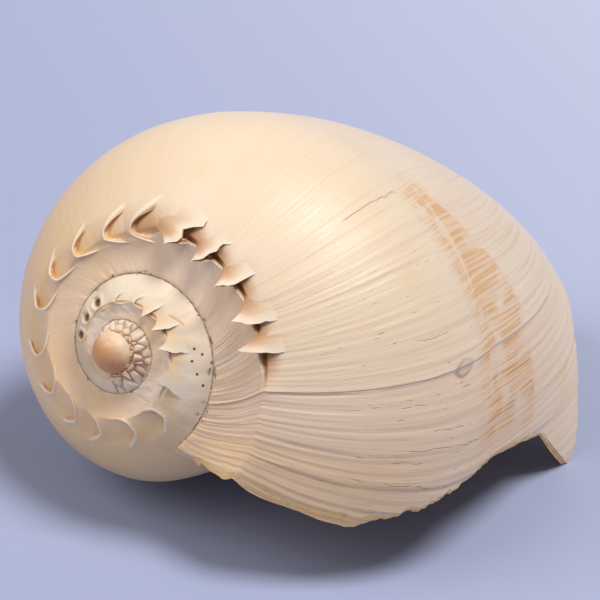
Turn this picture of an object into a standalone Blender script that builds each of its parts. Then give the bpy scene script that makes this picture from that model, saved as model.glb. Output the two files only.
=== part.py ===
"""Baler shell (Melo volute) lying on its aperture: one hollow, coiled piece.

The shell is laid out along its own axis, apex at the start, and every whorl is the
same outline turned about that axis and enlarged as it goes. A filled shell is lofted
first, then the living chamber, a horn of the same law, is cut out of it.
"""
import math

import bmesh
import bpy
import numpy
from mathutils import Matrix, Vector

MM = 0.001

# Growth: the outline is enlarged this many times in one whole turn.
WHORL_EXPANSION = 2.556
GROWTH_RATE = math.log(WHORL_EXPANSION) / math.tau

# Outline of the last whorl at its lip, as (distance from axis, distance from apex).
RAMP_SAG = (62.0 * MM, 20.0 * MM)
SHOULDER = (73.0 * MM, 15.0 * MM)
SHOULDER_SLOPE = math.radians(31.7)
SHOULDER_REACH = 84.0 * MM
WIDEST = (137.5 * MM, 125.0 * MM)
WIDEST_REACH_BACK = 21.0 * MM
WIDEST_REACH_FRONT = 60.0 * MM
FRONT_END = (71.0 * MM, 357.0 * MM)
FRONT_SLOPE = math.radians(47.5)
FRONT_REACH = 62.0 * MM
SHOULDER_AT = 0.2
WIDEST_AT = 0.55
SUTURE_AT = 0.282

# Free edge of the shell: how far round each place along the outline has grown.
MARGIN = (
    (0.00, 0.32), (0.06, 0.20), (0.18, 0.03), (0.26, -0.06), (0.30, -0.11), (0.34, -0.20),
    (0.41, -0.29), (0.49, -0.37), (0.59, -0.42), (0.67, -0.43), (0.70, -0.35), (0.735, -0.27),
    (0.75, -0.35), (0.765, -0.49), (0.785, -0.64), (0.82, -0.80), (0.88, -0.92), (1.00, -1.00),
)
MARGIN_BLEND = 2.6

# Flared tip beside the siphonal notch.
FLARE = 13.0 * MM
FLARE_AT = 0.79
FLARE_WIDTH = 0.10
FLARE_FROM = -0.3
FLARE_FADE = 0.3

# Spines on the shoulder.
SPINE_TIP = (-6.0 * MM, -11.5 * MM)
SPINE_FIRST = -0.83
SPINE_SPACING_NEW = 0.25
SPINE_SPACING_OLD = 0.37
SPINE_SPREAD = 0.09

# Columella, protoconch and wall.
COLUMELLA_RADIUS = 17.0 * MM
COLUMELLA_TIP = 297.0 * MM
PROTOCONCH_RADIUS = 8.6 * MM
PROTOCONCH_RISE = 3.0 * MM
WALL = 3.2 * MM
CHAMBER_START = -2.2 * math.tau
CHAMBER_PAST_LIP = 0.5
NOTCH_FROM = -1.8
NOTCH_BLEND = 0.7
NOTCH_REACH = 26.0 * MM
NOTCH_RADIUS = 5.0 * MM
PARIETAL_CUT = 0.3 * MM
PARIETAL_CLEAR = 7.0 * MM

# How the shell lies: axis dips to the front, and the shell is rolled about it.
AXIS_DIP = math.radians(17.4)
AXIS_ROLL = math.radians(-152.9)
REST_FLAT = 0.5 * MM
FLOOR_SIZE = 0.5

RINGS_PER_WHORL = 60
CHAMBER_RINGS_PER_WHORL = 30
OLD_WHORLS = 2


def bezier(a, b, c, d, t):
    u = 1.0 - t
    w = (u ** 3, 3 * u * u * t, 3 * u * t * t, t ** 3)
    return tuple(w[0] * a[i] + w[1] * b[i] + w[2] * c[i] + w[3] * d[i] for i in (0, 1))


def body_outline(s):
    """Outline from the shoulder to the front end."""
    if s < WIDEST_AT:
        t = (s - SHOULDER_AT) / (WIDEST_AT - SHOULDER_AT)
        leave = (
            SHOULDER[0] + SHOULDER_REACH * math.cos(SHOULDER_SLOPE),
            SHOULDER[1] + SHOULDER_REACH * math.sin(SHOULDER_SLOPE),
        )
        arrive = (WIDEST[0], WIDEST[1] - WIDEST_REACH_BACK)
        return bezier(SHOULDER, leave, arrive, WIDEST, t)
    t = (s - WIDEST_AT) / (1.0 - WIDEST_AT)
    leave = (WIDEST[0], WIDEST[1] + WIDEST_REACH_FRONT)
    arrive = (
        FRONT_END[0] + FRONT_REACH * math.cos(FRONT_SLOPE),
        FRONT_END[1] - FRONT_REACH * math.sin(FRONT_SLOPE),
    )
    return bezier(WIDEST, leave, arrive, FRONT_END, t)


def outline(s):
    """Outline from the suture (s = 0) by the ramp to the front end (s = 1)."""
    if s >= SHOULDER_AT:
        return body_outline(s)
    wide = body_outline(SUTURE_AT)
    suture = (wide[0] / WHORL_EXPANSION, wide[1] / WHORL_EXPANSION)
    t = s / SHOULDER_AT
    u = 1.0 - t
    return tuple(u * u * suture[i] + 2 * u * t * RAMP_SAG[i] + t * t * SHOULDER[i] for i in (0, 1))


def growth(turn):
    return math.exp(GROWTH_RATE * turn)


def margin(s):
    for (s0, m0), (s1, m1) in zip(MARGIN, MARGIN[1:]):
        if s <= s1:
            return m0 + (m1 - m0) * (s - s0) / (s1 - s0)
    return MARGIN[-1][1]


def spine_phase(turn):
    """Saw tooth from 0 behind a spine up to 1 at its tip; 0 where no spines grow."""
    back = SPINE_FIRST - turn
    if back < -SPINE_SPACING_NEW * 0.3:
        return 0.0
    change = 6.0 * SPINE_SPACING_NEW
    if back < change:
        count = back / SPINE_SPACING_NEW
    else:
        count = 6.0 + (back - change) / SPINE_SPACING_OLD
    return 1.0 - (count % 1.0)


def flared(turn, s):
    """Outline with the flange beside the siphonal notch, which only the newest growth has."""
    r, a = outline(s)
    flare = math.exp(-((s - FLARE_AT) / FLARE_WIDTH) ** 2)
    return r + FLARE * flare * math.exp(min(0.0, (turn - FLARE_FROM) / FLARE_FADE)), a


def surface(turn, s):
    """Place on the outside as (distance from axis, distance from apex)."""
    r, a = flared(turn, s)
    rise = spine_phase(turn) * math.exp(-((s - SHOULDER_AT) / SPINE_SPREAD) ** 2)
    rise *= max(0.0, 1.0 - s / SUTURE_AT) ** 0.5 * min(1.0, s / 0.05)
    r += SPINE_TIP[0] * rise
    a += SPINE_TIP[1] * rise
    g = growth(turn)
    return g * r, g * a


def place(turn, r, a):
    """From shell terms to its own frame: axis along +X, growth clockwise seen from the apex."""
    return Vector((a, r * math.cos(turn), r * math.sin(turn)))


def spread(first, last, count):
    return [first + (last - first) * i / count for i in range(count + 1)]


def columella(turn_end, t):
    """Outside of the columella from the front end of a whorl (t = 0) to its tip (t = 1)."""
    u = 1.0 - t
    bend = turn_end[1] + 0.3 * (COLUMELLA_TIP - turn_end[1])
    r = u * u * turn_end[0] + 2 * u * t * COLUMELLA_RADIUS
    a = u * u * turn_end[1] + 2 * u * t * bend + t * t * COLUMELLA_TIP
    return r, a


def loft(bm, rings, closed):
    """Skin neighbouring rings of equal length with quads."""
    for ring, following in zip(rings, rings[1:]):
        count = len(ring)
        for j in range(count if closed else count - 1):
            k = (j + 1) % count
            bm.faces.new((ring[j], ring[k], following[k], following[j]))


def new_object(name, bm, collection):
    bmesh.ops.recalc_face_normals(bm, faces=bm.faces)
    mesh = bpy.data.meshes.new(name)
    bm.to_mesh(mesh)
    bm.free()
    obj = bpy.data.objects.new(name, mesh)
    collection.objects.link(obj)
    return obj


def filled_shell(collection):
    """Solid shell with its aperture plugged."""
    ramp = spread(0.0, SHOULDER_AT, 4) + spread(SHOULDER_AT, SUTURE_AT, 2)[1:]
    body = spread(SUTURE_AT, 0.66, 7)[1:] + [0.7, 0.735, 0.75, 0.765, 0.785, 0.82, 0.88, 0.94, 1.0]
    columella_steps = spread(0.0, 1.0, 4)[1:]
    end = MARGIN[0][1]
    bm = bmesh.new()
    rings = []
    for i in range(RINGS_PER_WHORL + 1):
        base = end - math.tau + math.tau * i / RINGS_PER_WHORL
        blend = min(1.0, max(0.0, 1.0 - (end - base) / MARGIN_BLEND))
        blend = blend * blend * (3.0 - 2.0 * blend)
        ring = []
        for older in range(OLD_WHORLS, 0, -1):
            for s in ramp[:-1]:
                turn = base - older * math.tau
                ring.append(bm.verts.new(place(turn, *surface(turn, s))))
        for s in ramp + body:
            turn = base + blend * (margin(s) - end)
            front = surface(turn, s)
            ring.append(bm.verts.new(place(turn, *front)))
        for t in columella_steps:
            ring.append(bm.verts.new(place(turn, *columella(front, t))))
        rings.append(ring)
    loft(bm, rings, False)
    # The plug spans from the free edge to the whorl beneath it.
    first, last = rings[0], rings[-1]
    suture = OLD_WHORLS * (len(ramp) - 1)
    beneath = suture + len(ramp) - 1
    for j in range(suture, len(first) - 1):
        if j < beneath:
            bm.faces.new((last[j], last[j + 1], first[beneath]))
        else:
            bm.faces.new((last[j], last[j + 1], first[j + 1], first[j]))
    # Inner end of the coil, hidden in the protoconch.
    loose = [ring[0] for ring in rings] + [first[j] for j in range(len(ramp) - 2, 0, -1)]
    hub = bm.verts.new(Vector((2.0 * MM, 0.0, 0.0)))
    for a, b in zip(loose, loose[1:] + loose[:1]):
        bm.faces.new((a, b, hub))
    bmesh.ops.remove_doubles(bm, verts=bm.verts, dist=0.00002)
    bmesh.ops.dissolve_degenerate(bm, edges=bm.edges, dist=0.00001)
    return new_object("shell", bm, collection)


def inward(turn, s, depth):
    """Outline moved towards the inside by a depth."""
    step = 0.004
    r0, a0 = flared(turn, max(0.0, s - step))
    r1, a1 = flared(turn, min(1.0, s + step))
    length = math.hypot(r1 - r0, a1 - a0)
    r, a = flared(turn, s)
    return r - depth * (a1 - a0) / length, a + depth * (r1 - r0) / length


def chamber(collection):
    """The horn-shaped room inside the last whorl, open at the aperture."""
    outer = [0.07, 0.14, 0.2, 0.26, 0.34, 0.43, 0.52, 0.62, 0.72, 0.8, 0.87, 0.93, 0.975]
    parietal = [1.0, 0.88, 0.76, 0.64, 0.52, 0.44, 0.37]
    end = MARGIN[0][1]
    count = round((end + CHAMBER_PAST_LIP - CHAMBER_START) / math.tau * CHAMBER_RINGS_PER_WHORL)
    under = tuple(v / WHORL_EXPANSION for v in outline(1.0))
    bm = bmesh.new()
    rings = []
    for turn in spread(CHAMBER_START, end + CHAMBER_PAST_LIP, count):
        g = growth(turn)
        past = max(0.0, (turn - end) / CHAMBER_PAST_LIP)
        lift = -PARIETAL_CUT + past * PARIETAL_CLEAR
        section = [inward(turn, s, WALL) for s in outer]
        for t in (0.8, 0.6, 0.4, 0.2):
            r, a = columella(under, t)
            section.append((r + lift, a))
        for s in parietal:
            r, a = inward(turn - math.tau, s, -lift * WHORL_EXPANSION)
            section.append((r / WHORL_EXPANSION, a / WHORL_EXPANSION))
        section = [(g * r, g * a) for r, a in section]
        # Near the aperture the front end is open too: that is the siphonal notch.
        p = min(1.0, max(0.0, (turn - NOTCH_FROM) / NOTCH_BLEND))
        p = p * p * (3.0 - 2.0 * p)
        tip = len(outer) - 1
        section[tip] = (section[tip][0], section[tip][1] + p * NOTCH_REACH)
        r, a = section[tip + 1]
        front = (NOTCH_RADIUS, COLUMELLA_TIP + NOTCH_REACH / 2.0)
        section[tip + 1] = (r + p * (front[0] - r), a + p * (front[1] - a))
        rings.append([bm.verts.new(place(turn, r, a)) for r, a in section])
    loft(bm, rings, True)
    bm.faces.new(rings[0])
    bm.faces.new(rings[-1])
    return new_object("chamber", bm, collection)


def protoconch(collection):
    bm = bmesh.new()
    bmesh.ops.create_uvsphere(bm, u_segments=20, v_segments=10, radius=PROTOCONCH_RADIUS)
    bmesh.ops.translate(bm, verts=bm.verts, vec=(PROTOCONCH_RADIUS - PROTOCONCH_RISE, 0.0, 0.0))
    return new_object("protoconch", bm, collection)


def material(name, colour, roughness):
    mat = bpy.data.materials.new(name)
    mat.use_nodes = True
    shader = mat.node_tree.nodes["Principled BSDF"]
    shader.inputs["Base Color"].default_value = (*colour, 1.0)
    shader.inputs["Roughness"].default_value = roughness
    shader.inputs["Metallic"].default_value = 0.0
    return mat


def cut(obj, cutter, operation):
    modifier = obj.modifiers.new(cutter.name, "BOOLEAN")
    modifier.object = cutter
    modifier.operation = operation
    modifier.solver = "EXACT"
    cutter.hide_render = True
    cutter.display_type = "WIRE"


def floor_block(collection, top):
    """Block whose upper side is the plane the resting points are flattened to."""
    bm = bmesh.new()
    bmesh.ops.create_cube(bm, size=FLOOR_SIZE)
    bmesh.ops.translate(bm, verts=bm.verts, vec=(0.15, 0.0, top - FLOOR_SIZE / 2.0))
    return new_object("floor", bm, collection)


def place_all(matrix, *collections):
    for collection in collections:
        for obj in collection.objects:
            obj.matrix_world = matrix @ obj.matrix_world
    bpy.context.view_layer.update()


def extent(obj):
    """Lowest and highest corner of the finished object."""
    finished = obj.evaluated_get(bpy.context.evaluated_depsgraph_get())
    mesh = finished.to_mesh()
    places = numpy.array([obj.matrix_world @ v.co for v in mesh.vertices])
    finished.to_mesh_clear()
    return places.min(axis=0), places.max(axis=0)


def main():
    for obj in list(bpy.data.objects):
        bpy.data.objects.remove(obj)
    shells = bpy.data.collections.new("baler_shell")
    cutters = bpy.data.collections.new("cutters")
    bpy.context.scene.collection.children.link(shells)
    bpy.context.scene.collection.children.link(cutters)

    shell = filled_shell(shells)
    cut(shell, protoconch(cutters), "UNION")
    cut(shell, chamber(cutters), "DIFFERENCE")
    shell.data.materials.append(material("cream_shell", (0.80, 0.66, 0.48), 0.38))

    # Lie down, take the rub marks of the three points it rests on, and stand on the floor.
    turn = Matrix.Rotation(AXIS_DIP, 4, "Y") @ Matrix.Rotation(AXIS_ROLL, 4, "X")
    place_all(turn, shells, cutters)
    low, high = extent(shell)
    cut(shell, floor_block(cutters, low[2] + REST_FLAT), "DIFFERENCE")
    low, high = extent(shell)
    centre = (low + high) / 2.0
    place_all(Matrix.Translation((-centre[0], -centre[1], -low[2])), shells, cutters)


main()
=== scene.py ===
import math
from types import SimpleNamespace

import bmesh
import bpy
from mathutils import Matrix, Vector, noise


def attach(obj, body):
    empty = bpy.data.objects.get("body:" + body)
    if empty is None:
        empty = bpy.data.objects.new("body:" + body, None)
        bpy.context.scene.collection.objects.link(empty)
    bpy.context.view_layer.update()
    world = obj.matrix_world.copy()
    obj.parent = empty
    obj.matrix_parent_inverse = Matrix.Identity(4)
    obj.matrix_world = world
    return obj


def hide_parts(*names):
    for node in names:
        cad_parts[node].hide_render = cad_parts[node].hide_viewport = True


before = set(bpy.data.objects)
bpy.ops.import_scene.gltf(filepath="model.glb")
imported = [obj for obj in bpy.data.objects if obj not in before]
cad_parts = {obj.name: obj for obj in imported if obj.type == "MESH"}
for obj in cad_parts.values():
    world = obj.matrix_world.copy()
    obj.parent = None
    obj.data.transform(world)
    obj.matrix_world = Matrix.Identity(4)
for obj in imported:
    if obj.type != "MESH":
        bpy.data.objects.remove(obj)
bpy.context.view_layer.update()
mm = 0.001

# Growth law of the shell, in millimetres and radians. One outline turns about the axis
# and is enlarged as it goes; distances are (from the axis, from the apex).
coil = {
    "expansion": 2.556,              # enlargement in one whole turn
    "rampSag": (62.0, 20.0),         # handle of the ramp's curve
    "shoulder": (73.0, 15.0),
    "shoulderSlope": 31.7,           # degrees at which the body leaves the shoulder
    "shoulderReach": 84.0,           # length of the handle there
    "widest": (137.5, 125.0),
    "widestReach": (21.0, 60.0),     # handles before and after the widest place
    "frontEnd": (71.0, 357.0),
    "frontSlope": 47.5,
    "frontReach": 62.0,
    "shoulderAt": 0.2,               # places along the outline, from 0 to 1
    "widestAt": 0.55,
    "sutureAt": 0.282,               # where the next whorl laps on
    "keelOut": (0.07, -1.0),         # outward direction on the very edge of the shoulder
    "keelNear": (0.03, 0.03),        # how far it counts on the ramp, and more for each mm off
    "keelPast": (0.006, 0.012),      # the same on the body
    "edgeLead": 0.32,                # how far growth lines run ahead at the suture
    "edgeLag": (-1.143, 2.316, -1.89, -1.07, -0.578),    # powers of the way from the shoulder
    "flare": (13.0, 0.79, 0.10, -0.3, 0.3),    # size, place, width, newest full turn, fade
    "roundNew": (0.016, -0.60, 0.16, 0.05),    # rounding, where it starts, its run, its width
    "roundWorn": (0.045, 0.07),      # rounding and width where the spines are worn
    "columellaRadius": 17.0,
    "columellaTip": 297.0,
    "roll": -152.9,                  # how it lies: rolled about its axis, then dipped, degrees
    "dip": 17.4,
    "stand": (-142.5476, 24.218, 88.3484),     # where its apex then is, mm
}

# Free edge of the lip: how far round each place along the outline has grown.
lipEdge = (
    (0.00, 0.32), (0.06, 0.20), (0.18, 0.03), (0.26, -0.06), (0.30, -0.11), (0.34, -0.20),
    (0.41, -0.29), (0.49, -0.37), (0.59, -0.42), (0.67, -0.43), (0.70, -0.35), (0.735, -0.27),
    (0.75, -0.35), (0.765, -0.49), (0.785, -0.64), (0.82, -0.80), (0.88, -0.92), (1.00, -1.00),
)

rate = math.log(coil["expansion"]) / math.tau
nearby = 0.004                       # a small step along the outline


def clamp(x, low=0.0, high=1.0):
    return min(high, max(low, x))


def smooth(x):
    x = clamp(x)
    return x * x * (3.0 - 2.0 * x)


def bell(x, centre, width):
    return math.exp(-((x - centre) / width) ** 2)


def bezier(a, b, c, d, t):
    u = 1.0 - t
    w = (u ** 3, 3 * u * u * t, 3 * u * t * t, t ** 3)
    return tuple(w[0] * a[i] + w[1] * b[i] + w[2] * c[i] + w[3] * d[i] for i in (0, 1))


def bodyOutline(s):
    c = coil
    if s < c["widestAt"]:
        slope = math.radians(c["shoulderSlope"])
        leave = (
            c["shoulder"][0] + c["shoulderReach"] * math.cos(slope),
            c["shoulder"][1] + c["shoulderReach"] * math.sin(slope),
        )
        arrive = (c["widest"][0], c["widest"][1] - c["widestReach"][0])
        t = (s - c["shoulderAt"]) / (c["widestAt"] - c["shoulderAt"])
        return bezier(c["shoulder"], leave, arrive, c["widest"], t)
    slope = math.radians(c["frontSlope"])
    leave = (c["widest"][0], c["widest"][1] + c["widestReach"][1])
    arrive = (
        c["frontEnd"][0] + c["frontReach"] * math.cos(slope),
        c["frontEnd"][1] - c["frontReach"] * math.sin(slope),
    )
    t = (s - c["widestAt"]) / (1.0 - c["widestAt"])
    return bezier(c["widest"], leave, arrive, c["frontEnd"], t)


# Outline from the suture (s = 0) over the ramp and shoulder to the front end (s = 1).
def outline(s):
    if s >= coil["shoulderAt"]:
        return bodyOutline(s)
    wide = bodyOutline(coil["sutureAt"])
    start = (wide[0] / coil["expansion"], wide[1] / coil["expansion"])
    t = s / coil["shoulderAt"]
    u = 1.0 - t
    sag, shoulder = coil["rampSag"], coil["shoulder"]
    return tuple(u * u * start[i] + 2 * u * t * sag[i] + t * t * shoulder[i] for i in (0, 1))


def lying():
    dip, roll = math.radians(coil["dip"]), math.radians(coil["roll"])
    return Matrix.Rotation(dip, 4, "Y") @ Matrix.Rotation(roll, 4, "X")


# Is 1 where the spines of the last whorl are worn down to low rims.
def wornAt(theta):
    (newest, fadeIn), (oldest, fadeOut) = spines["wornFrom"], spines["wornTo"]
    return smooth((newest - theta) / fadeIn) * (1.0 - smooth((oldest - theta) / fadeOut))


# The flange beside the notch belongs to the newest growth. The shoulder is rounded there,
# and again where its spines are worn down.
def flared(turn, s):
    size, at, width, start, fade = coil["flare"]
    rounding, first, run, reach = coil["roundNew"]
    soft = rounding * smooth((turn - first) / run) * bell(s, coil["shoulderAt"], reach)
    rounding, reach = coil["roundWorn"]
    soft = max(soft, rounding * wornAt(turn) * bell(s, coil["shoulderAt"], reach))
    if soft > 0.0003:
        near = [outline(max(0.0, s + soft * k)) for k in (-1.0, -0.6, -0.2, 0.2, 0.6, 1.0)]
        r, a = sum(p[0] for p in near) / 6.0, sum(p[1] for p in near) / 6.0
    else:
        r, a = outline(s)
    return r + size * bell(s, at, width) * math.exp(min(0.0, (turn - start) / fade)), a


def growth(turn):
    return math.exp(rate * turn)


def edgeAt(s):
    for (s0, m0), (s1, m1) in zip(lipEdge, lipEdge[1:]):
        if s <= s1:
            return m0 + (m1 - m0) * (s - s0) / (s1 - s0)
    return lipEdge[-1][1]


# Growth lines lag behind on the body and lead on the ramp.
def lag(s):
    if s < coil["shoulderAt"]:
        return coil["edgeLead"] * ((coil["shoulderAt"] - s) / coil["shoulderAt"]) ** 1.35
    u = s - coil["shoulderAt"]
    return sum(c * u ** (i + 1) for i, c in enumerate(coil["edgeLag"]))


def place(turn, r, a):
    return Vector((a, r * math.cos(turn), r * math.sin(turn)))


# Outward direction at a place of the outline. About the sharp shoulder it turns over evenly.
def outward(turn, s, reach):
    keel = coil["shoulderAt"]
    if turn > coil["roundNew"][1]:
        s0, s1 = max(0.0, s - 3.0 * nearby), min(1.0, s + 3.0 * nearby)
    elif s < keel:
        s0, s1 = max(0.0, s - nearby), min(keel, s + nearby)
    else:
        s0, s1 = max(keel, s - nearby), min(1.0, s + nearby)
    span, more = coil["keelNear"] if s < keel else coil["keelPast"]
    near = 1.0 - smooth(abs(s - keel) / (span + more * reach))
    (r0, a0), (r1, a1) = flared(turn, s0), flared(turn, s1)
    length = math.hypot(r1 - r0, a1 - a0)
    outR, outA = (a1 - a0) / length, -(r1 - r0) / length
    keelR, keelA = coil["keelOut"]
    outR += near * (keelR - outR)
    outA += near * (keelA - outA)
    length = math.hypot(outR, outA)
    return outR / length, outA / length


# A point that stands off the smooth outside by a height, in millimetres at full size.
def offOutside(turn, s, height, push=(0.0, 0.0)):
    outR, outA = outward(turn, s, abs(height))
    r, a = flared(turn, s)
    g = growth(turn)
    return place(turn, g * (r + height * outR + push[0]), g * (a + height * outA + push[1]))


# The columella bends from the front end of the outline down to its tip.
def columella(front, t):
    u = 1.0 - t
    tip = coil["columellaTip"]
    bend = front[1] + 0.3 * (tip - front[1])
    r = u * u * front[0] + 2 * u * t * coil["columellaRadius"]
    return r, u * u * front[1] + 2 * u * t * bend + t * t * tip


def spread(first, last, count):
    return [first + (last - first) * i / count for i in range(count + 1)]


# Spines on the shoulder. Places are growth lines in radians, newest first.
spines = {
    "rims": (-0.83, -1.04, -1.33, -1.58, -1.84, -2.33, -2.60, -2.95, -3.28, -3.60, -4.03, -4.42,
             -4.81, -5.15, -5.62, -6.08, -6.55, -7.11, -7.50, -7.88, -8.24, -8.69),
    # Oldest rim of each height, and that height as a share of the tip's reach.
    "heights": ((-1.7, 0.87), (-2.2, 0.78), (-6.3, 0.28), (-8.0, 0.85), (-99.0, 0.35)),
    "tip": (-7.5, -12.5),       # how far a full spine stands off the shoulder, mm
    "innerTip": (-13.0, -13.0),    # the same on the whorl before the last
    "wall": 1.3,                # thickness of its wall along that direction, mm
    "hollow": 5.2,              # depth of the hollow between two spines, mm
    "newestHollow": -0.54,      # no hollow is newer than this
    "full": (-2.4, 0.4),        # where full spines start, and over what span
    "wornFrom": (-1.95, 0.45),  # the newest and oldest worn ones, and the spans they fade over
    "wornTo": (-6.15, 0.2),
    "broken": (-2.2, -1.5),     # between these the spines are broken
    "innerFrom": -6.3,          # those of the whorl before the last are older than this
    "innerWornFrom": -8.0,
    "wornRim": 1.2,             # height of the raised edge of a worn spine, mm
    "wornArms": 0.22,           # how far its arms run ahead of its middle, radians
    "toRamp": 0.030,            # reach of a hollow along the outline
    "toBody": 0.018,
    "wornSides": (0.012, 0.010),    # how much further a worn spine reaches than its hollow
    "fullSides": (1.3, 2.1),    # how many times as far a full one reaches
    "steps": (14, 8, 26),       # faces along the outer wall, the inner wall and across
    "pits": (-9.17, -9.55, -9.94),    # deep holes on the whorl before the last
    "pitDepth": 9.0,
}


def spineHeight(rim):
    return next(height for oldest, height in spines["heights"] if rim > oldest)


# Reach of a spine and its hollow along the outline, to the ramp side and to the body side.
def spineReach(theta):
    worn = smooth((-1.9 - theta) / 0.6)
    worn *= 1.0 - 0.6 * smooth((spines["innerFrom"] - theta) / 0.3)
    first, span = spines["full"]
    full = smooth((theta - first) / span)
    wide = 0.024 * bell(theta, -2.3, 0.42)
    return spines["toRamp"] + 0.022 * worn - 0.010 * full, spines["toBody"] + 0.010 * worn + wide


# Where the row of spines runs. Its worn part wanders off the shoulder a little.
def spineLine(theta):
    first, span = spines["full"]
    wander = 0.040 * smooth((first - theta) / 1.6) - 0.028
    line = coil["shoulderAt"] + wander * wornAt(theta)
    return line - 0.010 * smooth((theta - first) / span)


# Growth between two rims: 0 just past the older rim, 1 at the newer one.
def betweenRims(theta):
    rims = spines["rims"]
    if theta >= rims[0]:
        return clamp((theta - rims[0]) / 0.27), spineHeight(rims[0])
    for newer, older in zip(rims, rims[1:]):
        if theta >= older:
            return (theta - older) / (newer - older), spineHeight(older)
    return 1.0, 0.0


# Shape of the hollow across the shoulder: a steep wall on the ramp side and an easy one
# outside between full spines, an even scoop between worn ones.
def hollowAcross(theta, s, x=0.0):
    toRamp, toBody = spineReach(theta)
    u = s - spineLine(theta)
    edge = toRamp * (1.12 - 0.5 * bell(x, 0.62, 0.28))
    cut = smooth((u + edge) / 0.007) * (1.0 - smooth((u - 0.1 * toBody) / (1.5 * toBody)))
    q = u / (toRamp if u < 0.0 else toBody)
    return cut + (max(0.0, 1.0 - q * q) ** 0.8 - cut) * wornAt(theta)


# How far a place on a worn rim has run ahead of its middle, in radians of growth.
def rimAhead(q):
    return spines["wornArms"] * min(1.0, abs(q)) ** 2.5


# How deep a place lies in the hollow between two spines, from 0 to 1.
def hollowAt(theta, s):
    newest = spines["newestHollow"]
    if not 0.1 < s < 0.26 or theta > newest:
        return 0.0
    worn = wornAt(theta)
    toRamp, toBody = spineReach(theta)
    q = (s - spineLine(theta)) / (toRamp if s < spineLine(theta) else toBody)
    x, size = betweenRims(theta - worn * rimAhead(q))
    along = max(0.0, 1.0 - x) ** 0.9
    if theta < spines["rims"][0]:
        along = max(along, smooth((x - 0.6 - 0.24 * worn) / (0.3 - 0.18 * worn)))
    deep = (0.75 + 0.25 * size) * (1.0 - 0.4 * smooth((-7.7 - theta) / 0.2))
    return hollowAcross(theta, s, x) * along * deep * smooth((newest - theta) / 0.03)


# Distance from the nearest pit of the whorl before the last, 1 at its edge.
def fromPit(theta, s):
    return min(math.hypot((theta - at) / 0.105, (s - 0.221) / 0.017) for at in spines["pits"])


# Heights in the outside, in mm at full size. Places are growth lines in radians.
surface = {
    "lines": (0.09, 0.15),      # growth lines, and how much more on fresh growth
    "fineLines": (0.05, 0.12),
    "swell": 0.35,
    "plateFrom": -0.556,        # the last plate starts here
    "plateStep": 0.9,
    "plateFade": 0.22,
    "rests": ((-0.29, 0.35), (-0.16, 0.45), (-1.25, 0.25)),    # smaller steps of that kind
    "restFade": 0.12,
    "lap": (0.7, 0.5),          # edge of a whorl on the one before, and how uneven it is
    "innerFrom": -6.1,          # the whorl before the last is rougher
    "innerWear": 1.2,
    "pitRim": 2.2,
    "knobsFrom": -11.4,         # the first whorls are knobbly
    "knobHeight": 6.0,
    "groovesFrom": -11.6,
}


# Near 0 in the grooves between the knobs of the first whorls, and higher on top of them.
def knobs(theta, s):
    near = noise.voronoi(Vector((theta * 3.2, s * 9.5, 0.5)))[0]
    return near[1] - near[0]


# How far the worn outside stands off the smooth growth law.
def relief(theta, s):
    c = surface
    fresh = smooth((theta + 2.6) / 1.6) + 0.9 * smooth((theta + 1.0) / 0.5)
    wavy = theta + 0.007 * noise.noise(Vector((s * 26.0, theta * 7.0, 2.2)))
    (old, new), (fineOld, fineNew) = c["lines"], c["fineLines"]
    h = (old + new * fresh) * noise.noise(Vector((wavy * 46.0, s * 3.4, 3.1)))
    h += (fineOld + fineNew * fresh) * noise.noise(Vector((wavy * 110.0, s * 8.0, 7.7)))
    h += c["swell"] * noise.noise(Vector((theta * 5.0, s * 4.0, 1.3)))
    # The last plate starts from under the edge of the one before it.
    past = theta - c["plateFrom"]
    if past > 0.0:
        deep = c["plateStep"] * smooth(past / 0.008) * math.exp(-past / c["plateFade"])
        h -= deep * (1.0 - 0.6 * smooth((s - 0.6) / 0.1))
    onBody = smooth((s - 0.205) / 0.02)
    for line, size in c["rests"]:
        past = theta - line - 0.012 * noise.noise(Vector((s * 22.0, line * 9.0, 0.4)))
        if 0.0 < past < c["restFade"]:
            h -= size * smooth(past / 0.006) * (1.0 - past / c["restFade"]) * onBody
    lap, uneven = c["lap"]
    lap += uneven * noise.noise(Vector((theta * 16.0, 0.0, 5.0)))
    h += lap * smooth(s / 0.006) * (1.0 - smooth((s - 0.008) / 0.05))
    if theta < c["innerFrom"]:
        rough = noise.noise(Vector((theta * 6.0, s * 20.0, 9.0)))
        h += c["innerWear"] * rough * smooth(s / 0.03)
        h += c["pitRim"] * bell(fromPit(theta, s), 1.3, 0.3) * smooth((-8.8 - theta) / 0.2)
    first = c["knobsFrom"]
    if theta < first:
        knob = c["knobHeight"] * (smooth(knobs(theta, s) / 0.4) - 0.5)
        h += knob * smooth((first - theta) / 0.5) * smooth(s / 0.02)
    return h


# A grid of rows by columns, bent into shape by a function that gives each of its points a
# place, and two pairs of numbers for the growth and marks maps. A fourth answer is the growth
# pair for the faces on the side of the lower columns.
def bendGrid(rows, columns, shape):
    bm = bmesh.new()
    bmesh.ops.create_grid(bm, x_segments=rows, y_segments=columns, size=0.5)
    growthMap = bm.loops.layers.uv.new("growth")
    marksMap = bm.loops.layers.uv.new("marks")
    table = {}
    for v in bm.verts:
        i, j = round((v.co.x + 0.5) * rows), round((v.co.y + 0.5) * columns)
        table[v] = (i, j)
    found = {key: shape(*key) for key in table.values()}
    for face in bm.faces:
        cells = [table[loop.vert] for loop in face.loops]
        low = min(cell[1] for cell in cells)
        for loop, cell in zip(face.loops, cells):
            growthPair, marksPair = found[cell][1:3]
            if cell[1] > low and len(found[cell]) > 3:
                growthPair = found[cell][3]
            loop[growthMap].uv = growthPair
            loop[marksMap].uv = marksPair
    for v, cell in table.items():
        v.co = found[cell][0]
    byCell = {cell: v for v, cell in table.items()}
    return bm, byCell


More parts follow.
